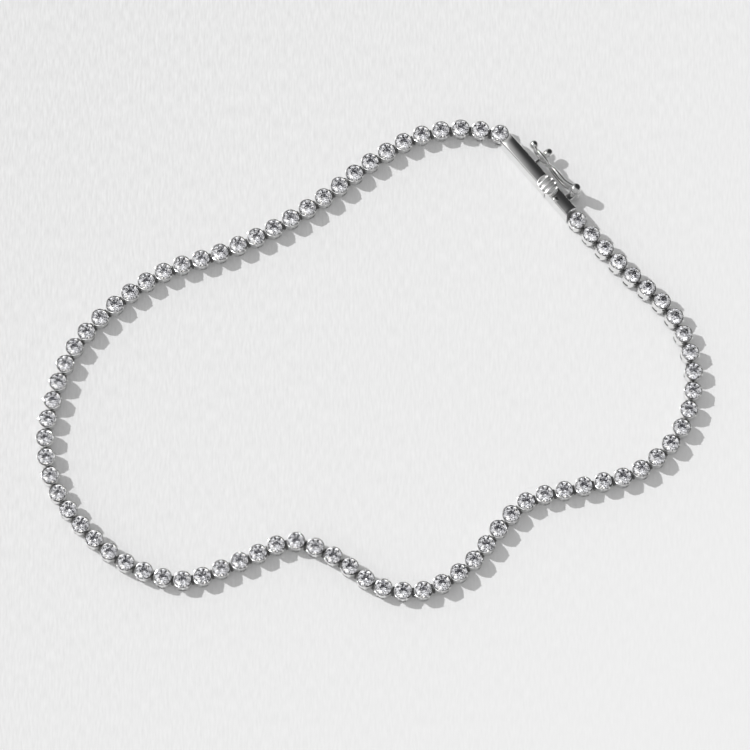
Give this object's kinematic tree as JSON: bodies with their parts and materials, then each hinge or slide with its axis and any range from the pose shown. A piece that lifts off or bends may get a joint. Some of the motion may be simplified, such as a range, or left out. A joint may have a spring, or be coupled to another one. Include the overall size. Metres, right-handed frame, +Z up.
{
  "type": "tennis bracelet",
  "caption": "Line bracelet of round stones in low prong-set cups, lying in a loose loop, with a box clasp, a ridged thumb piece and a figure-eight safety latch.",
  "frame": {"origin": "on the surface that the bracelet lies on, under the middle of its box", "axes": "+Z up from the surface, +X along the longer way across the loop, the clasp towards +X and +Y"},
  "size_m": [0.0665, 0.0505, 0.0028],
  "materials": {
    "white_metal": "mirror-polished white metal",
    "set_stones": "clear brilliant-cut stones set in polished white metal"
  },
  "bodies": {
    "bracelet": {"stone_line_left": "set_stones", "stone_line_right": "set_stones", "clasp_box": "white_metal", "clasp_tongue": "white_metal"},
    "latch": {"safety_latch": "white_metal"}
  },
  "joints": [
    {"name": "latch_hinge", "type": "hinge", "parent": "bracelet", "child": "latch", "pos_m": [0.02069, 0.01752, 0.00204], "axis": [0, 0, -1], "range_deg": [0, 135]}
  ]
}
